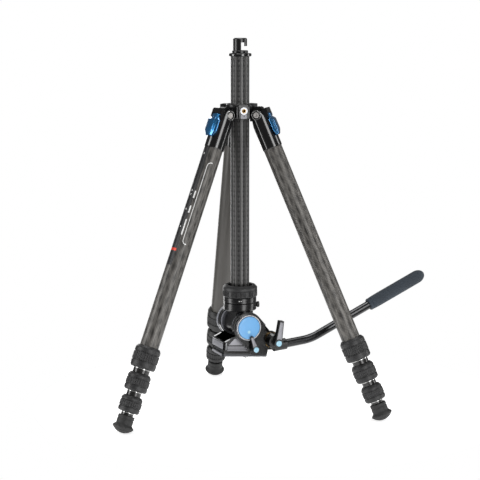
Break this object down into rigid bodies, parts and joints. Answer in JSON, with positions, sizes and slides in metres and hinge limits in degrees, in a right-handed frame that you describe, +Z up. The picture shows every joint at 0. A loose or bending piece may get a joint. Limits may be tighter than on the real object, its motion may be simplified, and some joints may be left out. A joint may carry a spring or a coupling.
{
  "type": "travel video tripod",
  "caption": "Carbon-fibre travel tripod with telescoping legs, a reversed centre column and a compact fluid head with a bent pan handle hanging under it.",
  "frame": {"origin": "middle of the box round the whole tripod, on the ground under the feet", "axes": "+Z up, +X to the side the pan handle points to, -Y towards the front where the accessory socket faces; the column axis stands at x -0.0514, y -0.0365"},
  "size_m": [0.4722, 0.3969, 0.5647],
  "materials": {
    "carbon": "woven carbon fibre under satin lacquer",
    "grip_rubber": "charcoal rubber sleeve over metal",
    "foot_rubber": "moulded black rubber",
    "blue_anodised": "blue anodised",
    "sky_blue": "light blue anodised",
    "bright_steel": "turned bright",
    "grey_metal": "satin grey",
    "grey_plate": "satin grey",
    "black_plastic": "moulded",
    "dark_satin_metal": "dark satin",
    "slate_foam": "slate blue-grey foam",
    "brass_ring": "bronze tinted",
    "black_gloss_metal": "gloss black anodised"
  },
  "bodies": {
    "hub": {"spider": "black_gloss_metal", "leg_hinge_bolts": "bright_steel", "accessory_socket": "bright_steel", "bush_key_screw": "grey_metal", "column_bush": "black_plastic"},
    "column": {"center_column": "carbon", "column_end_cap": "black_gloss_metal", "head_platform": "black_gloss_metal"},
    "hook": {"ballast_hook": "black_gloss_metal"},
    "collar": {"column_collar": "grip_rubber"},
    "pan": {"pan_base": "black_gloss_metal", "head_body": "black_gloss_metal"},
    "pan_knob": {"pan_lock_knob": "black_plastic"},
    "tilt": {"tilt_shaft": "grey_metal", "tilt_arm_front": "black_gloss_metal", "tilt_arm_rear": "black_gloss_metal", "tilt_cap_front": "sky_blue", "clamp_base": "black_gloss_metal", "handle_rosette": "brass_ring"},
    "tilt_knob": {"tilt_lock_knob": "grey_metal"},
    "jaw": {"clamp_jaw": "grey_plate"},
    "jaw_lever": {"clamp_lever": "black_gloss_metal", "clamp_lever_cap": "sky_blue"},
    "plate": {"camera_plate": "grey_plate"},
    "stud": {"camera_screw": "bright_steel"},
    "handle": {"handle_socket": "black_gloss_metal", "handle_rod": "dark_satin_metal", "handle_grip": "slate_foam"},
    "grip_lever": {"handle_lever": "black_gloss_metal", "handle_lever_cap": "sky_blue"},
    "left_leg": {"left_leg_yoke": "black_gloss_metal", "left_leg_tube_1": "carbon"},
    "left_stop": {"left_angle_stop": "blue_anodised"},
    "left_lock_1": {"left_twist_lock_1": "grip_rubber"},
    "left_section_2": {"left_leg_tube_2": "carbon"},
    "left_lock_2": {"left_twist_lock_2": "grip_rubber"},
    "left_section_3": {"left_leg_tube_3": "carbon"},
    "left_lock_3": {"left_twist_lock_3": "grip_rubber"},
    "left_section_4": {"left_leg_tube_4": "carbon", "left_foot": "foot_rubber"},
    "right_leg": {"right_leg_yoke": "black_gloss_metal", "right_leg_tube_1": "carbon"},
    "right_stop": {"right_angle_stop": "blue_anodised"},
    "right_lock_1": {"right_twist_lock_1": "grip_rubber"},
    "right_section_2": {"right_leg_tube_2": "carbon"},
    "right_lock_2": {"right_twist_lock_2": "grip_rubber"},
    "right_section_3": {"right_leg_tube_3": "carbon"},
    "right_lock_3": {"right_twist_lock_3": "grip_rubber"},
    "right_section_4": {"right_leg_tube_4": "carbon", "right_foot": "foot_rubber"},
    "rear_leg": {"rear_leg_yoke": "black_gloss_metal", "rear_leg_tube_1": "carbon"},
    "rear_stop": {"rear_angle_stop": "blue_anodised"},
    "rear_lock_1": {"rear_twist_lock_1": "grip_rubber"},
    "rear_section_2": {"rear_leg_tube_2": "carbon"},
    "rear_lock_2": {"rear_twist_lock_2": "grip_rubber"},
    "rear_section_3": {"rear_leg_tube_3": "carbon"},
    "rear_lock_3": {"rear_twist_lock_3": "grip_rubber"},
    "rear_section_4": {"rear_leg_tube_4": "carbon", "rear_foot": "foot_rubber"}
  },
  "joints": [
    {"name": "left_leg_hinge", "type": "hinge", "parent": "hub", "child": "left_leg", "pos_m": [-0.07409, -0.05612, 0.4517], "axis": [-0.6541, 0.7564, 0], "range_deg": [-10, 62]},
    {"name": "right_leg_hinge", "type": "hinge", "parent": "hub", "child": "right_leg", "pos_m": [-0.02306, -0.04634, 0.4517], "axis": [-0.328, -0.9447, 0], "range_deg": [-10, 62]},
    {"name": "rear_leg_hinge", "type": "hinge", "parent": "hub", "child": "rear_leg", "pos_m": [-0.05705, -0.00704, 0.4517], "axis": [0.9821, 0.1882, 0], "range_deg": [-10, 62]},
    {"name": "column_slide", "type": "slide", "parent": "hub", "child": "column", "axis": [0, 0, 1], "range_m": [-0.066, 0.18]},
    {"name": "pan_turn", "type": "hinge", "parent": "column", "child": "pan", "pos_m": [-0.0514, -0.0365, 0.1614], "axis": [0, 0, 1], "range_deg": [-12, 50]},
    {"name": "tilt_turn", "type": "hinge", "parent": "pan", "child": "tilt", "pos_m": [-0.0514, -0.0365, 0.1327], "axis": [0.3665, -0.9304, 0], "range_deg": [-50, 50]},
    {"name": "handle_angle", "type": "hinge", "parent": "tilt", "child": "handle", "pos_m": [0.00039, -0.05748, 0.1094], "axis": [-0.3665, 0.9304, 0], "range_deg": [-30, 45]},
    {"name": "plate_slide", "type": "slide", "parent": "tilt", "child": "plate", "axis": [0.9272, 0.3652, -0.0837], "range_m": [-0.012, 0.02]},
    {"name": "plate_lever", "type": "hinge", "parent": "tilt", "child": "jaw_lever", "pos_m": [-0.02887, -0.06847, 0.09941], "axis": [0.3665, -0.9304, 0], "range_deg": [0, 100]},
    {"name": "jaw_slide", "type": "slide", "parent": "tilt", "child": "jaw", "axis": [0.3665, -0.9304, 0], "range_m": [0, 0.0012]},
    {"name": "handle_lever_turn", "type": "hinge", "parent": "handle", "child": "grip_lever", "pos_m": [0.00534, -0.07004, 0.1094], "axis": [0.3665, -0.9304, 0], "range_deg": [-70, 70]},
    {"name": "camera_screw_turn", "type": "hinge", "parent": "plate", "child": "stud", "pos_m": [-0.04263, -0.03304, 0.08243], "axis": [-0.0779, -0.0307, -0.9965], "continuous": true},
    {"name": "column_collar_twist", "type": "hinge", "parent": "column", "child": "collar", "pos_m": [-0.0514, -0.0365, 0.1844], "axis": [0, 0, 1], "range_deg": [0, 60]},
    {"name": "hook_pull", "type": "slide", "parent": "column", "child": "hook", "axis": [0, 0, 1], "range_m": [0, 0.012], "stiffness_N_per_m": 400, "springref_m": -0.01},
    {"name": "tilt_knob_turn", "type": "hinge", "parent": "tilt", "child": "tilt_knob", "pos_m": [-0.06496, -0.00208, 0.1327], "axis": [0.3665, -0.9304, 0], "range_deg": [0, 90]},
    {"name": "pan_knob_turn", "type": "hinge", "parent": "pan", "child": "pan_knob", "pos_m": [-0.02401, -0.03068, 0.1612], "axis": [0.9781, 0.2079, 0], "range_deg": [0, 120]},
    {"name": "left_angle_stop_pull", "type": "slide", "parent": "left_leg", "child": "left_stop", "axis": [-0.6926, -0.5989, 0.4019], "range_m": [0, 0.004], "stiffness_N_per_m": 400, "springref_m": -0.008},
    {"name": "left_section_2_slide", "type": "slide", "parent": "left_leg", "child": "left_section_2", "axis": [-0.304, -0.2629, -0.9157], "range_m": [0, 0.295]},
    {"name": "left_section_3_slide", "type": "slide", "parent": "left_section_2", "child": "left_section_3", "axis": [-0.304, -0.2629, -0.9157], "range_m": [0, 0.295]},
    {"name": "left_section_4_slide", "type": "slide", "parent": "left_section_3", "child": "left_section_4", "axis": [-0.304, -0.2629, -0.9157], "range_m": [0, 0.295]},
    {"name": "right_angle_stop_pull", "type": "slide", "parent": "right_leg", "child": "right_stop", "axis": [0.865, -0.3004, 0.4019], "range_m": [0, 0.004], "stiffness_N_per_m": 400, "springref_m": -0.008},
    {"name": "right_section_2_slide", "type": "slide", "parent": "right_leg", "child": "right_section_2", "axis": [0.3797, -0.1319, -0.9157], "range_m": [0, 0.295]},
    {"name": "right_section_3_slide", "type": "slide", "parent": "right_section_2", "child": "right_section_3", "axis": [0.3797, -0.1319, -0.9157], "range_m": [0, 0.295]},
    {"name": "right_section_4_slide", "type": "slide", "parent": "right_section_3", "child": "right_section_4", "axis": [0.3797, -0.1319, -0.9157], "range_m": [0, 0.295]},
    {"name": "rear_angle_stop_pull", "type": "slide", "parent": "rear_leg", "child": "rear_stop", "axis": [-0.1724, 0.8993, 0.4019], "range_m": [0, 0.004], "stiffness_N_per_m": 400, "springref_m": -0.008},
    {"name": "rear_section_2_slide", "type": "slide", "parent": "rear_leg", "child": "rear_section_2", "axis": [-0.0757, 0.3948, -0.9157], "range_m": [0, 0.295]},
    {"name": "rear_section_3_slide", "type": "slide", "parent": "rear_section_2", "child": "rear_section_3", "axis": [-0.0757, 0.3948, -0.9157], "range_m": [0, 0.295]},
    {"name": "rear_section_4_slide", "type": "slide", "parent": "rear_section_3", "child": "rear_section_4", "axis": [-0.0757, 0.3948, -0.9157], "range_m": [0, 0.295]},
    {"name": "left_lock_1_twist", "type": "hinge", "parent": "left_leg", "child": "left_lock_1", "pos_m": [-0.18872, -0.15524, 0.1065], "axis": [-0.304, -0.2629, -0.9157], "range_deg": [0, 90]},
    {"name": "left_lock_2_twist", "type": "hinge", "parent": "left_section_2", "child": "left_lock_2", "pos_m": [-0.20027, -0.16523, 0.0717], "axis": [-0.304, -0.2629, -0.9157], "range_deg": [0, 90]},
    {"name": "left_lock_3_twist", "type": "hinge", "parent": "left_section_3", "child": "left_lock_3", "pos_m": [-0.2103, -0.1739, 0.04148], "axis": [-0.304, -0.2629, -0.9157], "range_deg": [0, 90]},
    {"name": "right_lock_1_twist", "type": "hinge", "parent": "right_leg", "child": "right_lock_1", "pos_m": [0.12009, -0.09605, 0.1065], "axis": [0.3797, -0.1319, -0.9157], "range_deg": [0, 90]},
    {"name": "right_lock_2_twist", "type": "hinge", "parent": "right_section_2", "child": "right_lock_2", "pos_m": [0.13452, -0.10106, 0.0717], "axis": [0.3797, -0.1319, -0.9157], "range_deg": [0, 90]},
    {"name": "right_lock_3_twist", "type": "hinge", "parent": "right_section_3", "child": "right_lock_3", "pos_m": [0.14705, -0.10541, 0.04148], "axis": [0.3797, -0.1319, -0.9157], "range_deg": [0, 90]},
    {"name": "rear_lock_1_twist", "type": "hinge", "parent": "rear_leg", "child": "rear_lock_1", "pos_m": [-0.08557, 0.14179, 0.1065], "axis": [-0.0757, 0.3948, -0.9157], "range_deg": [0, 90]},
    {"name": "rear_lock_2_twist", "type": "hinge", "parent": "rear_section_2", "child": "rear_lock_2", "pos_m": [-0.08845, 0.15679, 0.0717], "axis": [-0.0757, 0.3948, -0.9157], "range_deg": [0, 90]},
    {"name": "rear_lock_3_twist", "type": "hinge", "parent": "rear_section_3", "child": "rear_lock_3", "pos_m": [-0.09094, 0.16982, 0.04148], "axis": [-0.0757, 0.3948, -0.9157], "range_deg": [0, 90]}
  ],
  "couplings": [
    {"joint": "jaw_slide", "follows": "plate_lever", "m_per_rad": 0.0006303}
  ]
}
